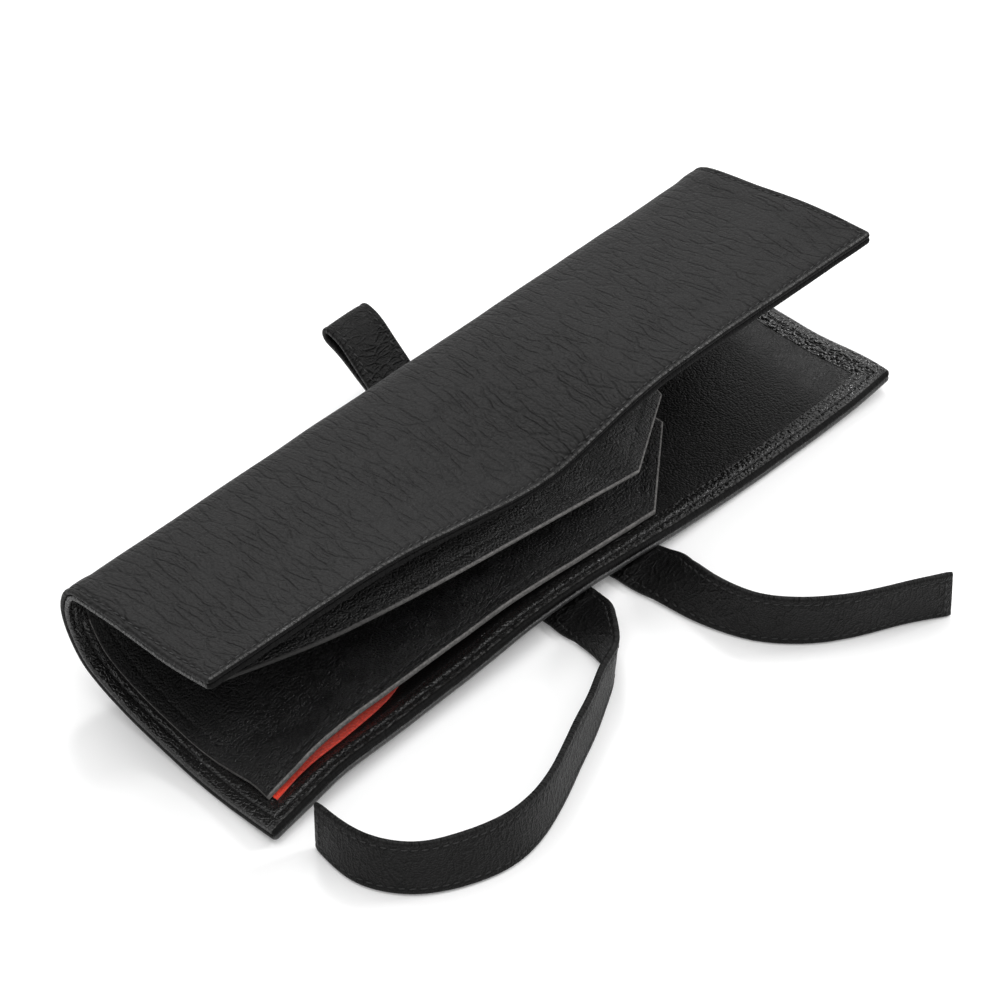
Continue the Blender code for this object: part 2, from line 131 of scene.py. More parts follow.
def spline(points, samples):
    """Natural cubic spline through the points, at samples counted in points."""
    points = np.asarray(points, float)
    gaps = np.linalg.norm(np.diff(points, axis=0), axis=1)
    knots = np.concatenate([[0.0], np.cumsum(gaps)])
    n = len(points)
    h = np.diff(knots)
    a = np.zeros((n, n))
    b = np.zeros_like(points)
    a[0, 0] = a[-1, -1] = 1
    for i in range(1, n - 1):
        a[i, i - 1], a[i, i], a[i, i + 1] = h[i - 1], 2 * (h[i - 1] + h[i]), h[i]
        b[i] = 6 * ((points[i + 1] - points[i]) / h[i]
                    - (points[i] - points[i - 1]) / h[i - 1])
    m = np.linalg.solve(a, b)
    at = np.interp(samples, np.arange(n), knots)
    i = np.clip(np.searchsorted(knots, at) - 1, 0, n - 2)
    left = ((knots[i + 1] - at) / h[i])[:, None]
    right = ((at - knots[i]) / h[i])[:, None]
    square = (h[i] ** 2)[:, None]
    return (left * points[i] + right * points[i + 1]
            + ((left ** 3 - left) * m[i] + (right ** 3 - right) * m[i + 1]) * square / 6)


def arc(line):
    """Length along a line at each of its points."""
    return np.concatenate([[0.0], np.cumsum(np.linalg.norm(np.diff(line, axis=0), axis=1))])


SECTIONS = {}


def section(x):
    """Outer line at x: points, arc length, and arc length at the two folds."""
    key = round(float(x), 3)
    if key in SECTIONS:
        return SECTIONS[key]
    f = (x + HALF_LENGTH) / (2 * HALF_LENGTH)
    width = FLAP_DIP_SPREAD[0] if x < FLAP_DIP_X else FLAP_DIP_SPREAD[1]
    dip = FLAP_DIP * math.exp(-(((x - FLAP_DIP_X) / width) ** 2))
    points = []
    for i, (a, b) in enumerate(zip(LEFT_END, RIGHT_END)):
        z = a[1] + f * (b[1] - a[1])
        if i < len(LEAF_Z):
            z = through(LEAF_X, LEAF_Z[i], x)
        v = a[0] + f * (b[0] - a[0])
        if i < 2:
            v -= through(REACH_X, REACH, x) / (1 + i)
        points.append((v, z - dip * FLAP_DIP_SHARE[i]))
    count = len(points)
    line = spline(points, np.linspace(0, count - 1, SECTION_FINE * (count - 1) + 1))
    length = arc(line)
    lower = length[SECTION_FINE * LEFT_END.index(SPINE_FOLD)]
    upper = length[SECTION_FINE * LEFT_END.index(FLAP_FOLD)]
    SECTIONS[key] = (line, length, lower, upper)
    return SECTIONS[key]


def ripple(x, s):
    """Slow unevenness of the whole leaf, shared by all its layers."""
    return (0.22 * noise.noise(Vector((x / 21, s / 17, 3.1)))
            + 0.09 * noise.noise(Vector((x / 8, s / 7, 7.7))))


def skin(x, s, depth):
    """Point at depth inside the outer face, and the inward direction, both (x, y, z)."""
    line, length = section(x)[:2]
    total = length[-1]
    inside = min(max(s, 0.0), total)
    after = min(inside + SLOPE_STEP, total)
    before = max(inside - SLOPE_STEP, 0)
    at = [np.interp(inside, length, line[:, k]) for k in (0, 1)]
    ahead = [np.interp(after, length, line[:, k]) for k in (0, 1)]
    behind = [np.interp(before, length, line[:, k]) for k in (0, 1)]
    tv, tz = ahead[0] - behind[0], ahead[1] - behind[1]
    size = math.hypot(tv, tz)
    tv, tz = tv / size, tz / size
    over = s - inside
    depth = depth - ripple(x, s)
    point = np.array([x, at[0] - tz * depth + tv * over + FRONT_Y,
                      at[1] + tv * depth + tz * over])
    return point, np.array([0.0, -tz, tv])


def seam(x):
    """Where the lower and upper halves of every layer meet, halfway up the spine."""
    lower, upper = section(x)[2:]
    return (lower + upper) / 2


# ---- mesh helpers ----
def to_frame(points):
    """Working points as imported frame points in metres."""
    return (np.asarray(points, float) + np.array([0, Y_SHIFT, 0])) * 0.001


def make_object(name, verts, faces, uvs, slots, materials, sharp=38):
    """Smooth shaded mesh, sharp past that angle, with leather coordinates in its uvs."""
    mesh = bpy.data.meshes.new(name)
    mesh.from_pydata([tuple(p) for p in to_frame(verts)], [], faces)
    layer = mesh.uv_layers.new(name="grain")
    index = np.zeros(len(mesh.loops), np.int32)
    mesh.loops.foreach_get("vertex_index", index)
    layer.data.foreach_set("uv", (np.asarray(uvs, float)[index] / 100).ravel())
    for m in materials:
        mesh.materials.append(m)
    if slots is not None:
        mesh.polygons.foreach_set("material_index", slots)
    mesh.shade_smooth()
    mesh.set_sharp_from_angle(angle=math.radians(sharp))
    mesh.update()
    obj = bpy.data.objects.new(name, mesh)
    bpy.context.scene.collection.objects.link(obj)
    return obj


def closed_sheet(name, grid, materials, keep=None, edge=None, sharp=38):
    """Closed body through a grid [column][row] of (outer point, inner point, uv).

    keep(c, r) is false where a cell is left out, and edge(c, r) is a cell's material slot.
    """
    verts, uvs, index = [], [], {}

    def vertex(side, c, r):
        key = (side, c, r)
        if key not in index:
            index[key] = len(verts)
            verts.append(grid[c][r][side])
            uvs.append(grid[c][r][2])
        return index[key]

    faces, slots, edges = [], [], {}
    for c in range(len(grid) - 1):
        for r in range(len(grid[0]) - 1):
            if keep is not None and not keep(c, r):
                continue
            slot = int(edge(c, r)) if edge is not None else 0
            ring = [(c, r), (c + 1, r), (c + 1, r + 1), (c, r + 1)]
            faces.append([vertex(0, *p) for p in reversed(ring)])
            faces.append([vertex(1, *p) for p in ring])
            slots += [slot, slot]
            for a, b in zip(ring, ring[1:] + ring[:1]):
                edges[(a, b)] = True
    wall = len(materials) - 1 if edge is not None else 0
    for a, b in edges:
        if (b, a) not in edges:
            faces.append([vertex(0, *a), vertex(0, *b), vertex(1, *b), vertex(1, *a)])
            slots.append(wall)
    return make_object(name, verts, faces, uvs, slots, materials, sharp)


def roll(d, r):
    """How far a face draws in at distance d from an edge rounded to radius r."""
    if d >= r:
        return 0.0
    return r - math.sqrt(max(r * r - (r - d) ** 2, 0.0))


def groove(d, at, width, depth):
    """Depth of a soft groove that lies that far from an edge."""
    return depth * math.exp(-(((d - at) / width) ** 2))


# distances from an edge that get a line of the grid, closest at the rim and the stitches
EDGE_STEPS = [0.0, 0.05, 0.18, 0.4, 0.7, 1.05, 1.4, 1.7, 2.0, 2.4, 2.8, 3.1, 3.4,
              3.7, 4.1, 4.6, 5.2, 5.8, 6.3, 6.7, 7.0, 7.3, 7.8, 8.6, 9.6, 11.0]
CORNER = 1.3                 # radius of the leaves' front corners, seen from above
GRID_STEP = 2.0              # away from edges and bends
BEND_ZONE = 16               # this far from the seam on the spine, rows are 1 mm apart


def spread(low, high, step):
    """Even places from low to high, about a step apart."""
    count = max(int(round((high - low) / step)), 1)
    return list(np.linspace(low, high, count + 1))


def columns_across(left=EDGE_STEPS, right=EDGE_STEPS):
    """The grid's x, from end to end of the case."""
    low = [-HALF_LENGTH + d for d in left]
    high = [HALF_LENGTH - d for d in reversed(right)]
    return low + spread(low[-1], high[0], GRID_STEP)[1:-1] + high


def leaf_place(x, e):
    """Grid place to leather place with its front corners rounded, and its edge distance."""
    for side in (-1, 1):
        a = HALF_LENGTH + side * x
        if a < CORNER and e < CORNER:
            px, pe = CORNER - a, CORNER - e
            far, size = max(px, pe), math.hypot(px, pe)
            if size > 0:
                px, pe = px * far / size, pe * far / size
            return side * (CORNER - px - HALF_LENGTH), CORNER - pe, CORNER - far
    return x, e, min(HALF_LENGTH - abs(x), e)


def leaf_rows(x, upper, first, count=None):
    """Distances from a leaf's front edge back to the seam; a count sets their number."""
    end = section(x)[1][-1] - seam(x) if upper else seam(x)
    bend = end - BEND_ZONE
    if count is None:
        middle = spread(first[-1], bend, GRID_STEP)
    else:
        middle = list(np.linspace(first[-1], bend, count - len(first) - BEND_ZONE + 1))
    return first + middle[1:] + spread(bend, end, 1.0)[1:]


def leaf_layer(name, upper, xs, first, faces_at, materials, keep=None, highlight_band=None):
    """One layer of the lower or upper half.

    faces_at(x, e, d) gives its two depths, and highlight_band holds the distances from the front
    edge where the third and the second material end; the second is the rim's painted highlight.
    """
    count = len(leaf_rows(0.0, upper, first))

    def cell(x0, e0):
        x, e, d = leaf_place(x0, e0)
        s = section(x)[1][-1] - e if upper else e
        a, b = faces_at(x, e, d)
        return skin(x, s, a)[0], skin(x, s, b)[0], (x, s)

    grid = [[cell(x, e) for e in leaf_rows(x, upper, first, count)] for x in xs]
    if upper:
        grid = [line[::-1] for line in grid]

    def rim(c, r):
        row = count - r - 2 if upper else r
        e = first[row] if row < len(first) else FAR
        return 2 if e < highlight_band[0] else 1 if e < highlight_band[1] else 0

    return closed_sheet(name, grid, materials, keep, rim if highlight_band else None)


# ---- materials ----
def shader_nodes(name, rough, sheen=0.0, gloss=0.5):
    """A new material with its node tree and its shader."""
    mat = bpy.data.materials.new(name)
    mat.use_nodes = True
    tree = mat.node_tree
    shader = tree.nodes["Principled BSDF"]
    shader.inputs["Roughness"].default_value = rough
    shader.inputs["Sheen Weight"].default_value = sheen
    shader.inputs["Specular IOR Level"].default_value = gloss
    return mat, tree, shader


def node(tree, kind, **values):
    """A new node; values are its sockets by name, or else its settings."""
    made = tree.nodes.new(kind)
    for key, value in values.items():
        if key in made.inputs:
            made.inputs[key].default_value = value
        else:
            setattr(made, key, value)
    return made


def maths(tree, operation, a, b=None, c=None):
    """One sum of up to three numbers or sockets."""
    made = tree.nodes.new("ShaderNodeMath")
    made.operation = operation
    for socket, value in zip(made.inputs, (a, b, c)):
        if value is None:
            continue
        if isinstance(value, (int, float)):
            socket.default_value = value
        else:
            tree.links.new(value, socket)
    return made.outputs[0]


def ranged(tree, value, low, high, to_low=0.0, to_high=1.0):
    """A value eased from one range to another."""
    made = tree.nodes.new("ShaderNodeMapRange")
    made.interpolation_type = "SMOOTHSTEP"
    tree.links.new(value, made.inputs[0])
    for i, v in zip(range(1, 5), (low, high, to_low, to_high)):
        made.inputs[i].default_value = v
    return made.outputs[0]


def mixed(tree, share, a, b):
    """Colour a, turning to b with the share."""
    made = tree.nodes.new("ShaderNodeMix")
    made.data_type = "RGBA"
    for socket, value in ((made.inputs[0], share), (made.inputs[6], a), (made.inputs[7], b)):
        if isinstance(value, (int, float)):
            socket.default_value = value
        elif isinstance(value, tuple):
            socket.default_value = (*value, 1.0)
        else:
            tree.links.new(value, socket)
    return made.outputs[2]


def grain_uv(tree, *wander):
    """Leather coordinates in 100 mm units, plain and wandering by (warp, over size) pairs."""
    uv = node(tree, "ShaderNodeUVMap", uv_map="grain").outputs[0]
    moved = uv
    for warp, size in zip(wander[::2], wander[1::2]):
        drift = node(tree, "ShaderNodeTexNoise", Scale=100 / size, Detail=2.0)
        tree.links.new(uv, drift.inputs["Vector"])
        centred = node(tree, "ShaderNodeVectorMath", operation="SUBTRACT")
        tree.links.new(drift.outputs["Color"], centred.inputs[0])
        centred.inputs[1].default_value = (0.5, 0.5, 0.5)
        scaled = node(tree, "ShaderNodeVectorMath", operation="SCALE")
        tree.links.new(centred.outputs[0], scaled.inputs[0])
        scaled.inputs["Scale"].default_value = warp / 100
        added = node(tree, "ShaderNodeVectorMath", operation="ADD")
        tree.links.new(moved, added.inputs[0])
        tree.links.new(scaled.outputs[0], added.inputs[1])
        moved = added.outputs[0]
    return uv, moved


def tiled(tree, vector, wide, tall, feature):
    """Distance in a flat pattern of irregular cells of that size in mm."""
    fit = node(tree, "ShaderNodeMapping")
    fit.inputs["Scale"].default_value = (100 / wide, 100 / tall, 1)
    tree.links.new(vector, fit.inputs["Vector"])
    tiles = node(tree, "ShaderNodeTexVoronoi", voronoi_dimensions="2D", feature=feature,
                 Scale=1.0)
    tree.links.new(fit.outputs[0], tiles.inputs["Vector"])
    return tiles.outputs["Distance"]


def cells(tree, vector, wide, tall, high):
    """0 along the creases between cells, 1 on their tops."""
    return ranged(tree, tiled(tree, vector, wide, tall, "DISTANCE_TO_EDGE"), 0.0, high)


def beads(tree, vector, wide, tall, tight):
    """Round bubbles, 1 on their tops and 0 between them."""
    middle = tiled(tree, vector, wide, tall, "F1")
    far = maths(tree, "MULTIPLY", middle, middle)
    return maths(tree, "MAXIMUM", maths(tree, "MULTIPLY_ADD", far, -tight, 1.0), 0.0)


def calmed(tree, uv, height, calm):
    """The height with its hollows filled towards the case's left end, down to a share."""
    along = node(tree, "ShaderNodeSeparateXYZ")
    tree.links.new(uv, along.inputs[0])
    share = ranged(tree, along.outputs["X"], -0.85, 0.1, calm, 1.0)
    hollow = maths(tree, "SUBTRACT", 1.0, height)
    return maths(tree, "SUBTRACT", 1.0, maths(tree, "MULTIPLY", hollow, share))


def speckle(tree, vector, size, detail):
    """Noise of that size in mm."""
    made = node(tree, "ShaderNodeTexNoise", Scale=100 / size, Detail=detail)
    tree.links.new(vector, made.inputs["Vector"])
    return made.outputs["Fac"]


def bumped(tree, shader, height, distance):
    made = node(tree, "ShaderNodeBump", Strength=1.0)
    made.inputs["Distance"].default_value = distance
    tree.links.new(height, made.inputs["Height"])
    tree.links.new(made.outputs[0], shader.inputs["Normal"])


def pebbled(name, top, crease_shade, rough, gloss, wide, tall, small, relief, contrast=1.0,
            bubble=0.0, dust=0.4, sparse=0.34, folds=1.0, line=0.2,
            wander=(9.0, 30.0, 2.2, 5.0), tight=1.9, calm=1.0):
    """Leather with folds between cells wide by tall mm and with pebbles of the small size.

    Sizes are in mm and relief in metres. Folds come in sparse patches, line is how broad they
    are, dust is the finest grain, and bubble adds round beads, tight together, calm at the left.
    The crease_shade colour is painted shade in the folds and between the beads, mixed in by the
    contrast share, and the lighter specks over the grain are painted highlights.
    """
    mat, tree, shader = shader_nodes(name, rough, gloss=gloss)
    uv, warped = grain_uv(tree, *wander)
    big = cells(tree, warped, wide, tall, line)
    middle = cells(tree, warped, wide * 0.55, tall * 0.5, line * 1.3)
    little = cells(tree, warped, small, small * 1.3, 0.3)
    patch = ranged(tree, speckle(tree, uv, 9.0, 2.0), sparse, sparse + 0.28, 0.35, 1.0)
    big = maths(tree, "MULTIPLY", big, maths(tree, "MULTIPLY_ADD", middle, 0.4, 0.6))
    fine = speckle(tree, uv, 0.45, 4.0)
    deep = maths(tree, "MULTIPLY", maths(tree, "SUBTRACT", 1.0, big), patch)
    height = maths(tree, "MULTIPLY", little, 0.28)
    height = maths(tree, "MULTIPLY_ADD", deep, -folds, height)
    height = maths(tree, "MULTIPLY_ADD", fine, dust, height)
    if bubble:
        round_ones = beads(tree, uv, small, small * 1.15, tight)
        if calm < 1:
            round_ones = calmed(tree, uv, round_ones, calm)
        height = maths(tree, "MULTIPLY_ADD", round_ones, bubble, height)
        # the gaps between the beads join the hollows that get painted shade in the colour below
        deep = maths(tree, "MAXIMUM", deep, maths(tree, "SUBTRACT", 1.0, round_ones))
    bumped(tree, shader, height, relief)
    # painted shade: the crease_shade colour darkens the folds and the gaps between the beads
    share = maths(tree, "MULTIPLY", deep, contrast)
    colour = mixed(tree, share, top, crease_shade)
    # painted highlight: lighter specks over the grain stand in for glints
    glint_specks = ranged(tree, speckle(tree, uv, 0.8, 6.0), 0.36, 0.66, 0.0, 1.0)
    colour = mixed(tree, maths(tree, "MULTIPLY", glint_specks, 0.5), colour,
                   tuple(c * 1.7 for c in top))
    tree.links.new(colour, shader.inputs["Base Color"])
    tree.links.new(ranged(tree, fine, 0.3, 0.7, rough - 0.06, rough + 0.08),
                   shader.inputs["Roughness"])
    return mat


def suede(name, light, dark):
    mat, tree, shader = shader_nodes(name, 0.95, sheen=0.5, gloss=0.15)
    uv, _ = grain_uv(tree)
    nap = speckle(tree, uv, 0.7, 5.0)
    tree.links.new(mixed(tree, ranged(tree, nap, 0.3, 0.7), dark, light),
                   shader.inputs["Base Color"])
    bumped(tree, shader, nap, 0.0002)
    return mat


def raw_edge(name, light, dark, shaded_left=False):
    """The fibres of a cut edge; with shaded_left it is darker towards the case's left end,
    painted shade under the flap.
    """
    mat, tree, shader = shader_nodes(name, 0.85)
    coords = node(tree, "ShaderNodeTexCoord")
    fibre = node(tree, "ShaderNodeTexNoise", Scale=1500.0, Detail=4.0)
    tree.links.new(coords.outputs["Object"], fibre.inputs["Vector"])
    colour = mixed(tree, ranged(tree, fibre.outputs["Fac"], 0.3, 0.7), dark, light)
    # painted shade: the cut edge darkens towards the left end, where the flap overhangs it
    if shaded_left:
        split = node(tree, "ShaderNodeSeparateXYZ")
        tree.links.new(coords.outputs["Object"], split.inputs[0])
        unshaded = ranged(tree, split.outputs["X"], -0.085, -0.02)
        colour = mixed(tree, unshaded, tuple(c * 0.2 for c in dark), colour)
    tree.links.new(colour, shader.inputs["Base Color"])
    bumped(tree, shader, fibre.outputs["Fac"], 0.00008)
    return mat


def thread(name, colour):
    mat, tree, shader = shader_nodes(name, 0.6)
    coords = node(tree, "ShaderNodeTexCoord")
    twist = node(tree, "ShaderNodeTexWave", Scale=900.0, Distortion=1.5)
    tree.links.new(coords.outputs["Object"], twist.inputs["Vector"])
    tree.links.new(mixed(tree, twist.outputs["Fac"], tuple(c * 0.5 for c in colour), colour),
                   shader.inputs["Base Color"])
    bumped(tree, shader, twist.outputs["Fac"], 0.00004)
    return mat


# each leather's second colour is painted shade for its folds and the gaps between its beads
COVER = pebbled(
    "cover_leather", (0.0098, 0.0096, 0.0096), (0.0058, 0.0058, 0.0058), rough=0.55, gloss=0.16,
    wide=3.1, tall=11.0, small=1.2, relief=0.00022, contrast=0.8, sparse=0.32, line=0.14,
    folds=1.1, wander=(4.5, 25.0, 1.8, 5.0))
# a darker copy of the cover leather for the sides and walls: painted shade
SHADED_SIDE = pebbled(
    "cover_side_painted_shade", (0.0045, 0.0044, 0.0044), (0.003, 0.003, 0.003), rough=0.6, gloss=0.1,
    wide=1.4, tall=1.4, small=0.8, relief=0.0001)
# a lighter, glossier copy of the cover leather for the lower leaf's sides: painted light from
# the white floor
FLOOR_LIT_SIDE = pebbled(
    "cover_side_lower_painted_floor_light", (0.03, 0.03, 0.03), (0.02, 0.02, 0.02), rough=0.4, gloss=0.6,
    wide=1.4, tall=1.4, small=0.8, relief=0.0001)
# the rolled edges' crest: a bright copy of the leather, painted highlight on its beads and
# painted shade between them
CREST_HIGHLIGHT = pebbled(
    "rim_crest_painted_highlight", (0.036, 0.035, 0.034), (0.004, 0.004, 0.004), rough=0.35, gloss=0.4,
    wide=2.0, tall=2.0, small=1.5, relief=0.00025, bubble=0.9, dust=0.05, tight=5.0)
HEM = pebbled(
    "hem_leather", (0.01, 0.0098, 0.0098), (0.002, 0.002, 0.002), rough=0.25, gloss=0.55,
    wide=2.2, tall=2.6, small=1.0, relief=0.00026, bubble=0.9, dust=0.05, folds=0.4, calm=0.3)
LINING = pebbled(
    "lining_leather", (0.0034, 0.0033, 0.0033), (0.0016, 0.0016, 0.0016), rough=0.36, gloss=0.22,
    wide=3.0, tall=1.2, small=0.65, relief=0.00012, contrast=0.8, bubble=0.5, dust=0.12,
    folds=0.4)
PANEL = pebbled(
    "panel_leather", (0.008, 0.0078, 0.0078), (0.003, 0.003, 0.003), rough=0.4, gloss=0.36,
    wide=3.0, tall=0.8, small=0.6, relief=0.00024, contrast=0.6, bubble=0.6, dust=0.2,
    folds=0.7)
STRAP = pebbled(
    "strap_leather", (0.0032, 0.0031, 0.0031), (0.001, 0.001, 0.001), rough=0.48, gloss=0.17,
    wide=4.0, tall=1.7, small=0.8, relief=0.0003, contrast=0.8)
SUEDE = suede("red_suede", (0.9, 0.045, 0.008), (0.6, 0.02, 0.004))
RAW = raw_edge("raw_leather_edge", (0.2, 0.194, 0.188), (0.09, 0.087, 0.085))
RAW_UPPER_SHADED = raw_edge("raw_edge_upper_painted_shade", (0.2, 0.194, 0.188), (0.09, 0.087, 0.085), True)
THREAD = thread("black_thread", (0.007, 0.007, 0.007))


# ---- cover, hems and linings ----
def stitch_line(upper):
    return FLAP_STITCH if upper else LEAF_STITCH


def cover_faces(upper):
    """The cover's two depths, a little deeper inside its turned margin."""
    def at(x, e, d):
        margin = 0.3 * smooth((d - 4.6) / 4.0)
        outside = roll(d, RIM) + groove(d, stitch_line(upper), 0.4, 0.34) + margin
        return outside, COVER_THICK - roll(d, 0.7)
    return at


def hem_faces(upper):
    """The hem's two depths, thinned towards the lining and mitred at the front corners."""
    def at(x, e, d):
        left, right = HALF_LENGTH + x, HALF_LENGTH - x
        inner = max(HEM_LEFT - left, HEM_FRONT - e, HEM_RIGHT - right)
        thinned = 0.85 * (1 - smooth(inner / 3.0))
        top = HEM_TOP - roll(d, RIM) - thinned - groove(d, stitch_line(upper), 0.45, 0.3)
        side = min(left, right)
        if side < HEM_LEFT + 0.1 and e < HEM_FRONT + 0.1:
            top -= groove(side, e, 0.45, 0.22)
        return HEM_BED + roll(d, RIM), top
    return at


def lining_faces(x, e, d):
    return HEM_BED, LINING_TOP


def fold(obj):
    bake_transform(obj)
    return obj


def hem_steps(width):
    return [d for d in EDGE_STEPS if d < width - 0.1] + [width]


def build_cover(tag, upper):
    # the sides get painted shade on the upper half and painted floor light on the lower half
    materials = [COVER, CREST_HIGHLIGHT, SHADED_SIDE if upper else FLOOR_LIT_SIDE]
    # the band of painted highlight along the rim, narrower on the upper half
    highlight_band = (0.15, 0.6) if upper else (0.35, 1.0)
    cover = leaf_layer("cover_" + tag, upper, columns_across(), EDGE_STEPS,
                       cover_faces(upper), materials, highlight_band=highlight_band)
    fold(cover)
    if upper:
        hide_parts("cover_flap", "cover_spine")
    else:
        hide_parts("cover_lower_leaf")


def build_hem(tag, upper):
    first = hem_steps(HEM_FRONT)
    xs = columns_across(hem_steps(HEM_LEFT), hem_steps(HEM_RIGHT))
    count = len(leaf_rows(0.0, upper, first))
    left = len(hem_steps(HEM_LEFT)) - 1
    right = len(xs) - len(hem_steps(HEM_RIGHT))
    front = len(first) - 1

    def keep(c, r):
        at_front = r >= count - 1 - front if upper else r < front
        return c < left or c >= right or at_front

    # the hem's crest from 1.0 to 1.5 mm carries the painted highlight
    hem = leaf_layer("hem_" + tag, upper, xs, first, hem_faces(upper), [HEM, CREST_HIGHLIGHT, SHADED_SIDE],
                     keep, highlight_band=(1.0, 1.5))
    fold(hem)
    if upper:
        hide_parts("hem_flap_front", "hem_flap_left", "hem_flap_right",
                    "hem_spine_left", "hem_spine_right")
    else:
        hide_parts("hem_lower_front", "hem_lower_left", "hem_lower_right")


def build_lining(tag, upper):
    """The lining, whose edges run on under the hem by about a millimetre."""
    xs = spread(HEM_LEFT - 1.1 - HALF_LENGTH, HALF_LENGTH - HEM_RIGHT + 1.0, GRID_STEP)
    first = [HEM_FRONT - 1.0, HEM_FRONT, HEM_FRONT + 1.0]
    lining = leaf_layer("lining_" + tag, upper, xs, first, lining_faces, [LINING])
    fold(lining)
    if upper:
        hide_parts("lining_flap", "lining_spine")
    else:
        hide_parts("lining_lower_leaf")


HALVES = (("lower", False), ("upper", True))
for tag, upper in HALVES:
    build_cover(tag, upper)
    build_hem(tag, upper)
    build_lining(tag, upper)

# ---- red suede on the pocket's floor ----
SUEDE_LEFT, SUEDE_RIGHT, SUEDE_REAR = -97.2, 26.0, 46.0
SUEDE_BED, SUEDE_TOP = 2.0, 2.3
SUEDE_ROWS = 25
# how far back its front edge lies, at these x
SUEDE_X = [SUEDE_LEFT, -88, -77, -70, -64, -58, -50, -40, 30]
SUEDE_FRONT = [7.0, 7.9, 8.0, 8.4, 8.9, 9.8, 12.0, 12.5, 12.5]


def suede_line(x):
    run = SUEDE_REAR - through(SUEDE_X, SUEDE_FRONT, x)
    places = [SUEDE_REAR - k * run / SUEDE_ROWS for k in range(SUEDE_ROWS, -1, -1)]
    return [(skin(x, s, SUEDE_BED)[0], skin(x, s, SUEDE_TOP)[0], (x, s)) for s in places]


suede_grid = [suede_line(x) for x in spread(SUEDE_LEFT, SUEDE_RIGHT, GRID_STEP)]
pocket = closed_sheet("pocket_suede", suede_grid, [SUEDE])
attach(pocket, "lower_leaf")
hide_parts("pocket_lining_lower")

# ---- inner panel ----
PANEL_LEFT, PANEL_RIGHT = -97.5, 51.5
CUT_X, CUT_RISE = 28.5, 19.5  # the slanted corner starts here and takes off this much
PANEL_BED, PANEL_TOP, PANEL_MIDDLE = 2.3, 3.45, 2.88
PANEL_BELOW, PANEL_ABOVE = 0.58, 0.57
PANEL_HELD = 53.0            # the lower leaf of the panel is free as far back as this
PANEL_SOFT = 0.2             # radius of its cut edges
PANEL_STITCH = 3.5
RAW_CELLS = 3                # this many cells from a cut edge show the raw leather
PANEL_STEPS = [0.0, 0.06, 0.2, 0.5, 1.0, 1.6, 2.3, 2.8, 3.15, 3.5, 3.85, 4.2, 4.8, 5.6, 7.0]
CUT_SHARE = math.cos(math.atan2(CUT_RISE, PANEL_RIGHT - CUT_X))
BOW_X = [PANEL_LEFT, -90, -82, -76, -68, -58, -48, -38, -24, -10, 4, 20, 60]
BOW = [0.0, 1.8, 2.7, 3.2, 3.6, 3.4, 3.0, 2.6, 1.7, 0.9, 0.4, 0.1, 0.0]


def panel_lift(x, s):
    """How far the lower panel stands off the pocket's floor: its bow and its right end."""
    bow = through(BOW_X, BOW, x) * (1 - smooth((s - 7) / 26))
    end = 2.7 * smooth((x - CUT_X) / (PANEL_RIGHT - CUT_X)) * (1 - smooth((s - 30) / 24))
    return max(bow, end)


def slide(x, s):
    """The panel's left end runs a little wider above its front corner."""
    wide = 2.3 * smooth((s - 8) / 28) + 1.2 * (1 - smooth((s - 7) / 9))
    return x - wide * max(0.0, 1 - (x - PANEL_LEFT) / 40)


def panel_front(x):
    """Where the lower panel's front edge lies."""
    corner = 1.0 * (1 - smooth((x - PANEL_LEFT) / 10))
    return 7.3 + corner + max(x - CUT_X, 0.0) * CUT_RISE / (PANEL_RIGHT - CUT_X)


def panel_columns():
    low = [PANEL_LEFT + d for d in PANEL_STEPS]
    high = [PANEL_RIGHT - d for d in reversed(PANEL_STEPS)]
    middle = spread(low[-1], CUT_X, GRID_STEP)[1:] + spread(CUT_X, high[0], GRID_STEP)[1:-1]
    return low + middle + high


def panel_depths(d):
    soft = roll(d, PANEL_SOFT)
    line = groove(d, PANEL_STITCH, 0.4, 0.22)
    return PANEL_BED + soft, PANEL_TOP - soft - line


def panel_edge_distance(x, run):
    """Distance from the nearest edge of a place that far behind the front edge."""
    share = CUT_SHARE if x > CUT_X else 1.0
    return min(x - PANEL_LEFT, PANEL_RIGHT - x, run * share)


def build_panel(name, rows_at, faces_at, front):
    """One stretch of the panel; front says which end of its rows is cut, if any."""
    grid = [[faces_at(x, s) for s in rows_at(x)] for x in panel_columns()]
    columns, rows = len(grid) - 1, len(grid[0]) - 1

    def edge(c, r):
        low_end = front == "low" and r < RAW_CELLS
        high_end = front == "high" and r >= rows - RAW_CELLS
        return c >= columns - RAW_CELLS or low_end or high_end

    # the upper panel's cut edge carries painted shade at its left end
    raw = RAW_UPPER_SHADED if "upper" in name else RAW
    return closed_sheet(name, grid, [PANEL, raw], edge=edge, sharp=50)


def lower_panel_pair(x, s, d):
    a, b = panel_depths(d)
    up = panel_lift(x, s)
    return skin(slide(x, s), s, a + up)[0], skin(slide(x, s), s, b + up)[0], (x, s)


def lower_panel_rows(x):
    start = panel_front(x)
    first = [start + d for d in PANEL_STEPS]
    return first + list(np.linspace(first[-1], PANEL_HELD, 15)[1:])


def lower_panel_faces(x, s):
    return lower_panel_pair(x, s, panel_edge_distance(x, s - panel_front(x)))


def rear_panel_rows(x):
    return list(np.linspace(PANEL_HELD, seam(x), 22))


def rear_panel_faces(x, s):
    return lower_panel_pair(x, s, min(x - PANEL_LEFT, PANEL_RIGHT - x))


# the upper front edge at these x, the last stretch straight along the slanted corner
UPPER_FRONT_X = [-97.5, -63.0, -18.0, 28.5, 51.5]
UPPER_FRONT_V = [22.5, 16.5, 13.5, 12.6, 27.0]
UPPER_FRONT_Z = [29.4, 24.5, 20.0, 14.2, 14.6]
UPPER_REAR = (63.2, 27.6)
UPPER_TURN = (62.1, 29.3)
UPPER_SAG = 1.6
UPPER_HELD = 4               # the station where the free upper leaf starts
UPPER_FINE = 24              # samples between two stations
UPPER_LINES = {}


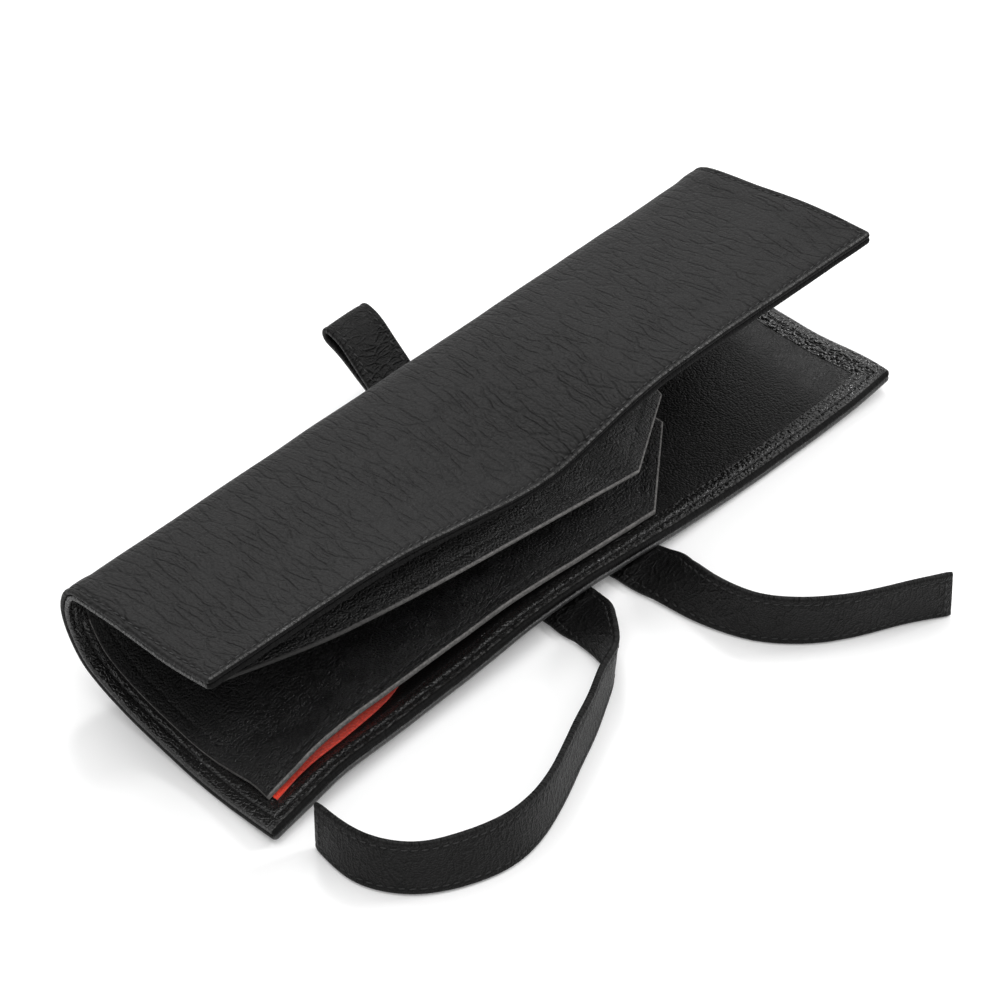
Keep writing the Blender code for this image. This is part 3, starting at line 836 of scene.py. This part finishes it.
def upper_line(x):
    """Middle line of the panel from the seam on the spine to its upper front edge."""
    key = round(float(x), 3)
    if key in UPPER_LINES:
        return UPPER_LINES[key]
    if x <= CUT_X:
        v = through(UPPER_FRONT_X[:4], UPPER_FRONT_V[:4], x)
        z = through(UPPER_FRONT_X[:4], UPPER_FRONT_Z[:4], x)
    else:
        k = (x - CUT_X) / (PANEL_RIGHT - CUT_X)
        v = UPPER_FRONT_V[3] + k * (UPPER_FRONT_V[4] - UPPER_FRONT_V[3])
        z = UPPER_FRONT_Z[3] + k * (UPPER_FRONT_Z[4] - UPPER_FRONT_Z[3])
    start = seam(x)
    fold_at = section(x)[3]
    points = []
    for share in (0.0, 0.45, 0.85):
        p = skin(x, start + share * (fold_at - start), PANEL_MIDDLE)[0]
        points.append((p[1] - FRONT_Y, p[2]))
    rear = np.array(UPPER_REAR)
    run = np.array([v, z]) - rear
    side = np.array([-run[1], run[0]]) / np.linalg.norm(run)
    points.append(UPPER_TURN)
    for k in (0.14, 0.35, 0.6, 0.85, 1.0):
        sag = UPPER_SAG * math.sin(math.pi * k)
        points.append(tuple(rear + run * k - side * sag))
    count = len(points)
    line = spline(points, np.linspace(0, count - 1, UPPER_FINE * (count - 1) + 1))
    length = arc(line)
    UPPER_LINES[key] = (line, length, length[UPPER_FINE * UPPER_HELD])
    return UPPER_LINES[key]


def upper_point(x, s, depth):
    """Point beside the panel's middle line, depth towards the compartment."""
    line, length, _ = upper_line(x)
    at = np.array([np.interp(s, length, line[:, k]) for k in (0, 1)])
    ahead = np.array([np.interp(s + 0.5, length, line[:, k]) for k in (0, 1)])
    behind = np.array([np.interp(s - 0.5, length, line[:, k]) for k in (0, 1)])
    t = (ahead - behind) / np.linalg.norm(ahead - behind)
    v, z = at + np.array([-t[1], t[0]]) * depth
    return np.array([x, v + FRONT_Y, z])


def upper_rear_rows(x):
    return list(np.linspace(0.0, upper_line(x)[2], 22))


def upper_pair(x, s, low, high):
    drift = np.array([slide(x, FAR) - x, 0, 0])
    return upper_point(x, s, low) + drift, upper_point(x, s, high) + drift, (x, seam(x) + s)


def upper_rear_faces(x, s):
    a, b = panel_depths(min(x - PANEL_LEFT, PANEL_RIGHT - x))
    return upper_pair(x, s, a - PANEL_MIDDLE, b - PANEL_MIDDLE)


def upper_front_rows(x):
    _, length, start = upper_line(x)
    last = [length[-1] - d for d in reversed(PANEL_STEPS)]
    return list(np.linspace(start, last[0], 14)[:-1]) + last


def upper_front_faces(x, s):
    d = panel_edge_distance(x, upper_line(x)[1][-1] - s)
    soft = roll(d, PANEL_SOFT)
    line = groove(d, PANEL_STITCH, 0.4, 0.2)
    return upper_pair(x, s, line + soft - PANEL_BELOW, PANEL_ABOVE - soft - line)


lower_front = build_panel("panel_lower_front", lower_panel_rows, lower_panel_faces, "low")
lower_rear = build_panel("panel_lower_rear", rear_panel_rows, rear_panel_faces, "")
upper_rear = build_panel("panel_upper_rear", upper_rear_rows, upper_rear_faces, "")
upper_front = build_panel("panel_upper_front", upper_front_rows, upper_front_faces, "high")


def corner_lift(obj):
    """Bakes the panel's placement into its mesh; its shape stays as it is.
    """
    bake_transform(obj)


corner_lift(lower_front)
corner_lift(upper_front)
fold(lower_rear)
fold(upper_rear)
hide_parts("panel_lower")
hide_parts("panel_spine")
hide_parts("panel_upper")

# ---- strap ----
# stations along the strap, each its two edges' (x, y, z) in the working frame
TAIL_LEFT = [
    ((-13.6, -42.6, 0.9), (-0.1, -44.6, 4.4)),
    ((-13.4, -44.6, 0.9), (-0.8, -47.2, 4.7)), ((-12.9, -48.0, 0.6), (-4.0, -52.6, 7.0)),
    ((-12.7, -52.0, 0.6), (-8.0, -58.0, 10.4)), ((-12.9, -58.5, 0.3), (-12.0, -63.0, 13.0)),
    ((-14.6, -64.0, 0.3), (-16.0, -66.6, 13.8)), ((-19.8, -68.0, 0.3), (-21.4, -68.6, 13.9)),
    ((-28.5, -73.0, 0.3), (-29.4, -72.6, 14.0)), ((-41.0, -79.0, 0.3), (-41.0, -77.8, 14.0)),
    ((-56.0, -85.7, 0.3), (-56.0, -84.2, 14.0)), ((-68.7, -88.6, 0.3), (-68.7, -85.6, 14.0)),
    ((-84.0, -84.8, 0.3), (-81.6, -82.0, 13.8)), ((-93.2, -78.4, 0.3), (-90.6, -76.8, 13.9)),
    ((-99.2, -67.8, 0.3), (-96.6, -67.1, 14.0)), ((-98.6, -54.0, 0.3), (-97.9, -53.3, 14.2)),
]
TAIL_RIGHT = [
    ((8.4, -42.8, 0.9), (22.4, -44.2, 2.6)),
    ((8.6, -45.6, 0.9), (22.3, -46.6, 3.4)), ((10.0, -54.5, 0.3), (18.4, -58.7, 10.7)),
    ((12.0, -65.5, 0.3), (16.6, -67.4, 13.6)), ((17.1, -79.0, 0.3), (18.4, -78.2, 14.0)),
    ((25.5, -89.2, 0.3), (26.0, -88.3, 14.2)), ((35.9, -96.1, 0.3), (35.9, -95.9, 14.2)),
    ((45.5, -100.6, 0.3), (45.5, -101.0, 14.2)), ((56.2, -107.0, 0.3), (55.9, -106.6, 14.2)),
]
LEG_LEFT = [
    ((-13.6, -43.0, 0.8), (0.0, -44.8, 4.3)), ((-13.6, -40.0, 0.8), (0.3, -41.0, 2.8)),
    ((-13.0, -28.0, 0.8), (1.0, -28.0, 1.0)), ((-13.0, -14.0, 0.8), (1.0, -14.0, 0.8)),
    ((-11.4, -4.0, 0.8), (2.6, -4.4, 0.8)), ((-8.4, 3.4, 2.2), (5.3, 2.2, 2.4)),
    ((-5.4, 9.0, 2.7), (8.2, 7.4, 2.7)), ((-1.6, 15.2, 2.8), (11.8, 13.8, 2.8)),
]
LEG_RIGHT = [
    ((8.4, -43.0, 0.8), (22.3, -44.4, 2.5)), ((8.2, -40.0, 0.8), (22.2, -40.9, 1.2)),
    ((8.1, -38.0, 0.8), (22.1, -38.9, 0.8)), ((6.0, -10.0, 0.8), (20.0, -10.9, 0.8)),
    ((4.5, 15.0, 0.8), (18.5, 14.1, 0.8)),
]
# middle of the rear loop, which lies across x
LOOP = [
    (11.5, 15.4, 1.0), (11.5, 20.0, 2.0), (11.4, 27.0, 5.2), (11.4, 35.0, 9.6),
    (11.4, 43.0, 14.2), (11.4, 49.6, 17.6), (11.4, 52.6, 19.4), (11.4, 52.4, 21.2),
    (11.4, 50.2, 21.5), (11.0, 43.0, 18.2), (10.2, 35.0, 13.5), (9.0, 27.0, 8.9),
    (7.0, 20.0, 5.2), (5.5, 15.9, 3.9),
]
STRAP_HALF, STRAP_THICK, STRAP_STITCH = 7.0, 1.6, 1.7
STRAP_CLEAR = 0.1            # the strap stays this far above the table


def strap_frames(stations, per):
    """Middle, width direction, outward direction and run, per steps between stations."""
    count = len(stations)
    samples = np.linspace(0, count - 1, per * (count - 1) + 1)
    low = spline([q for q, _ in stations], samples)
    high = spline([p for _, p in stations], samples)
    middle = (low + high) / 2
    frames = []
    for i in range(len(samples)):
        t = middle[min(i + 1, len(samples) - 1)] - middle[max(i - 1, 0)]
        w = high[i] - low[i]
        w = w / np.linalg.norm(w)
        t = t - w * (t @ w)
        t = t / np.linalg.norm(t)
        n = np.cross(t, w)
        reach = [middle[i] + a * w * STRAP_HALF + b * n * STRAP_THICK / 2
                 for a in (-1, 1) for b in (-1, 1)]
        lift = max(STRAP_CLEAR - min(p[2] for p in reach), 0.0)
        frames.append((middle[i] + np.array([0, 0, lift]), w, n, t))
    return frames


def strap_profile():
    """(across, out) round the strap's section, both faces pressed in at the stitches."""
    places = [0.0, 0.12, 0.35, 0.7, 1.15, 1.45, 1.7, 1.95, 2.3, 3.2, 4.6, 6.0]
    top = []
    for d in places:
        h = STRAP_THICK / 2 - roll(d, 0.55) - groove(d, STRAP_STITCH, 0.35, 0.14)
        top.append((d - STRAP_HALF, h))
    top += [(-a, h) for a, h in reversed(top)]
    return top + [(a, -h) for a, h in reversed(top)]


def strap_wave(run, a):
    """Unevenness of the strap at that length and that far across."""
    return 0.12 * noise.noise(Vector((run / 9, a / 8, 5.0)))


def build_strap(name, stations, per):
    frames = strap_frames(stations, per)
    profile = strap_profile()
    path = np.array([f[0] for f in frames])
    run = arc(path)
    total = run[-1]
    verts, uvs = [], []
    for i, (m, w, n, _) in enumerate(frames):
        shrink = 1 - roll(min(run[i], total - run[i]), 0.5) * 0.8
        for a, h in profile:
            verts.append(m + w * a + n * (h * shrink + strap_wave(run[i], a)))
            uvs.append((a, run[i]))
    k = len(profile)
    faces = []
    for i in range(len(frames) - 1):
        for j in range(k):
            m = (j + 1) % k
            faces.append([i * k + j, i * k + m, (i + 1) * k + m, (i + 1) * k + j])
    faces.append(list(range(k))[::-1])
    faces.append([(len(frames) - 1) * k + j for j in range(k)])
    obj = make_object(name, verts, faces, uvs, None, [STRAP], sharp=60)
    return obj, frames


loop_stations = [((x - STRAP_HALF, y, z), (x + STRAP_HALF, y, z)) for x, y, z in LOOP]
strap_parts = {}
for name, stations, per, replaced in (
    ("tail_left", TAIL_LEFT, 10, "strap_tail_left"),
    ("tail_right", TAIL_RIGHT, 12, "strap_tail_right"),
    ("leg_left", LEG_LEFT, 6, "strap_leg_left"),
    ("leg_right", LEG_RIGHT, 6, "strap_leg_right"),
    ("rear_loop", loop_stations, 6, "strap_loop_rear"),
):
    obj, frames = build_strap(name, stations, per)
    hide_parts(replaced)
    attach(obj, "lower_leaf")
    strap_parts[name] = (obj, frames)

for name in ("tail_left", "tail_right"):
    obj, frames = strap_parts[name]

# ---- stitches ----
STITCH_PITCH, STITCH_LONG, STITCH_WIDE = 2.3, 1.6, 0.5
STITCH_SLANT = 0.12
STITCH_SUNK = 0.1            # how far its middle lies below the strap's or panel's face
STITCH_RAISED = 0.1          # and above the bottom of a leaf's groove
STITCH_RINGS, STITCH_SIDES = 5, 6


def stitch_object(name, items):
    """One mesh of thread stitches; items are (point, run direction, outward normal)."""
    rings, sides = STITCH_RINGS, STITCH_SIDES
    verts, faces, uvs = [], [], []
    for point, t, n in items:
        n = n / np.linalg.norm(n)
        t = t - n * (t @ n)
        t = t / np.linalg.norm(t)
        w = np.cross(n, t)
        t = t + w * STITCH_SLANT
        base = len(verts)
        for r in range(rings):
            a = math.pi * (r + 0.35) / (rings - 0.3) - math.pi / 2
            along = math.sin(a) * STITCH_LONG / 2
            thick = math.cos(a) ** 0.5 * STITCH_WIDE / 2 if math.cos(a) > 0 else 0.02
            for q in range(sides):
                b = 2 * math.pi * q / sides
                verts.append(point + t * along + w * math.cos(b) * thick
                             + n * (math.sin(b) * thick * 0.8 - 0.05 * abs(along)))
                uvs.append((along, b))
        for r in range(rings - 1):
            for q in range(sides):
                m = (q + 1) % sides
                faces.append([base + r * sides + q, base + r * sides + m,
                              base + (r + 1) * sides + m, base + (r + 1) * sides + q])
        faces.append([base + q for q in range(sides)][::-1])
        faces.append([base + (rings - 1) * sides + q for q in range(sides)])
    return make_object(name, verts, faces, uvs, None, [THREAD], sharp=80)


def marks(low, high, pitch=STITCH_PITCH):
    """Middles of the stitches that fill that stretch."""
    count = max(int((high - low) / pitch), 1)
    return [low + (high - low) * (i + 0.5) / count for i in range(count)]


def leaf_stitches(upper, inner):
    """Stitches round one half's three free edges, on its hem or on its cover."""
    d = stitch_line(upper)
    faces_at = hem_faces(upper) if inner else cover_faces(upper)
    total = leaf_rows(0.0, upper, EDGE_STEPS)[-1]
    places = [(-HALF_LENGTH + d, e, (0, 1)) for e in marks(d, total - 1)]
    places += [(HALF_LENGTH - d, e, (0, 1)) for e in marks(d, total - 1)]
    places += [(x, d, (1, 0)) for x in marks(d - HALF_LENGTH, HALF_LENGTH - d)]
    items = []
    for x, e, (dx, de) in places:
        depth = faces_at(x, e, d)[1 if inner else 0]
        sign = 1 if inner else -1
        depth += sign * STITCH_RAISED
        s = section(x)[1][-1] - e if upper else e
        ds = -de if upper else de
        point, inward = skin(x, s, depth)
        ahead = skin(x + SLOPE_STEP * dx, s + SLOPE_STEP * ds, depth)[0]
        behind = skin(x - SLOPE_STEP * dx, s - SLOPE_STEP * ds, depth)[0]
        items.append((point, ahead - behind, inward * sign))
    return items


for tag, upper in HALVES:
    items = leaf_stitches(upper, False) + leaf_stitches(upper, True)
    fold(stitch_object("stitches_" + tag, items))


def panel_row(upper):
    """Stitches along one panel leaf's front edge and the start of its right edge."""
    d = PANEL_STITCH
    last = PANEL_RIGHT - d

    def at(x, run):
        if upper:
            s = upper_line(x)[1][-1] - run
            return upper_point(x, s, PANEL_ABOVE - STITCH_SUNK), upper_point(x, s, 2.0)
        s = panel_front(x) + run
        up = panel_lift(x, s)
        return skin(x, s, PANEL_TOP - STITCH_SUNK + up)[0], skin(x, s, 5.0 + up)[0]

    items = []
    bend = CUT_X - 0.8
    for x in marks(PANEL_LEFT + d, bend) + marks(bend, last, STITCH_PITCH * CUT_SHARE):
        run = d if x < bend else d / CUT_SHARE
        point, above = at(x, run)
        items.append((point, at(x + 0.5, run)[0] - at(x - 0.5, run)[0], above - point))
    for run in marks(d / CUT_SHARE, 24.0):
        point, above = at(last, run)
        items.append((point, at(last, run + 0.5)[0] - at(last, run - 0.5)[0],
                      above - point))
    return items


corner_lift(stitch_object("stitches_panel_lower", panel_row(False)))
corner_lift(stitch_object("stitches_panel_upper", panel_row(True)))


def strap_rows(frames, tail):
    """Stitches along both edges of both faces, and across a tail's free end."""
    middle = np.array([f[0] for f in frames])
    run = arc(middle)
    total = run[-1]
    edge = STRAP_HALF - STRAP_STITCH

    def at(place, a, side):
        m, w, n, t = [np.array([np.interp(place, run, [f[q][k] for f in frames])
                                for k in range(3)]) for q in range(4)]
        height = side * (STRAP_THICK / 2 - STITCH_SUNK) + strap_wave(place, a)
        return m + w * a + n * height, w, n * side, t

    items = []
    for side in (-1, 1):
        for a in (-edge, edge):
            for place in marks(1.0, total - STRAP_STITCH):
                point, _, n, t = at(place, a, side)
                items.append((point, t, n))
        if tail:
            for a in marks(-edge, edge):
                point, w, n, _ = at(total - STRAP_STITCH, a, side)
                items.append((point + n * 0.12, w, n))
    return items


for name, (obj, frames) in strap_parts.items():
    row = stitch_object("stitches_" + name, strap_rows(frames, name.startswith("tail")))
    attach(row, "lower_leaf")
    if name == "rear_loop":
        for part in (obj, row):
            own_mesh(part)

# ---- stage, light and camera ----
scene = bpy.context.scene
floor_mesh = bpy.data.meshes.new("floor")
floor_corners = [(-3, -3, 0), (3, -3, 0), (3, 3, 0), (-3, 3, 0)]
floor_mesh.from_pydata(floor_corners, [], [(0, 1, 2, 3)])
floor = bpy.data.objects.new("floor", floor_mesh)
scene.collection.objects.link(floor)
floor_mat, _, floor_shader = shader_nodes("floor_white", 0.9, gloss=0.0)
floor_shader.inputs["Base Color"].default_value = (0.94, 0.94, 0.94, 1)
floor_shader.inputs["Emission Color"].default_value = (1, 1, 1, 1)
floor_shader.inputs["Emission Strength"].default_value = 0.1
floor_mesh.materials.append(floor_mat)

# the sky is brighter overhead, and towards one side behind the case
GLOW_SIDE = (0.62, 0.78, 0.0)
world = bpy.data.worlds.new("studio")
scene.world = world
world.use_nodes = True
sky_tree = world.node_tree
sky = sky_tree.nodes["Background"]
sky.inputs["Color"].default_value = (1, 1, 1, 1)
direction = node(sky_tree, "ShaderNodeTexCoord").outputs["Generated"]
split = node(sky_tree, "ShaderNodeSeparateXYZ")
sky_tree.links.new(direction, split.inputs[0])
behind = node(sky_tree, "ShaderNodeVectorMath", operation="DOT_PRODUCT")
sky_tree.links.new(direction, behind.inputs[0])
behind.inputs[1].default_value = GLOW_SIDE
above = ranged(sky_tree, split.outputs["Z"], 0.0, 0.75, 0.36, 0.82)
glow = ranged(sky_tree, behind.outputs["Value"], 0.4, 0.95, 0.0, 0.6)
sky_tree.links.new(maths(sky_tree, "ADD", above, glow), sky.inputs["Strength"])


def area_light(name, place, aim, size, power):
    data = bpy.data.lights.new(name, "AREA")
    data.shape = "SQUARE"
    data.size = size
    data.energy = power
    obj = bpy.data.objects.new(name, data)
    obj.location = place
    obj.rotation_euler = (Vector(aim) - Vector(place)).to_track_quat("-Z", "Y").to_euler()
    scene.collection.objects.link(obj)


area_light("top", (0.05, 0.05, 1.6), (0, 0, 0), 1.6, 9.5)
area_light("right", (1.05, -0.55, 0.85), (0, 0, 0), 0.3, 5.5)
area_light("back", (0.65, 0.85, 1.3), (0, 0, 0), 0.3, 7)

target = Vector((0.0085, -0.0046 + Y_SHIFT * 0.001, 0.0))
azimuth, elevation, distance = math.radians(-44.99), math.radians(44.5), 0.9827
camera_data = bpy.data.cameras.new("camera")
camera_data.sensor_width = 36.0
camera_data.lens = 145.8
camera_data.clip_start = 0.05
camera = bpy.data.objects.new("camera", camera_data)
camera.location = target + distance * Vector((
    math.sin(azimuth) * math.cos(elevation),
    -math.cos(azimuth) * math.cos(elevation),
    math.sin(elevation),
))
camera.rotation_euler = (target - camera.location).to_track_quat("-Z", "Y").to_euler()
scene.collection.objects.link(camera)
scene.camera = camera
scene.view_settings.view_transform = "Standard"
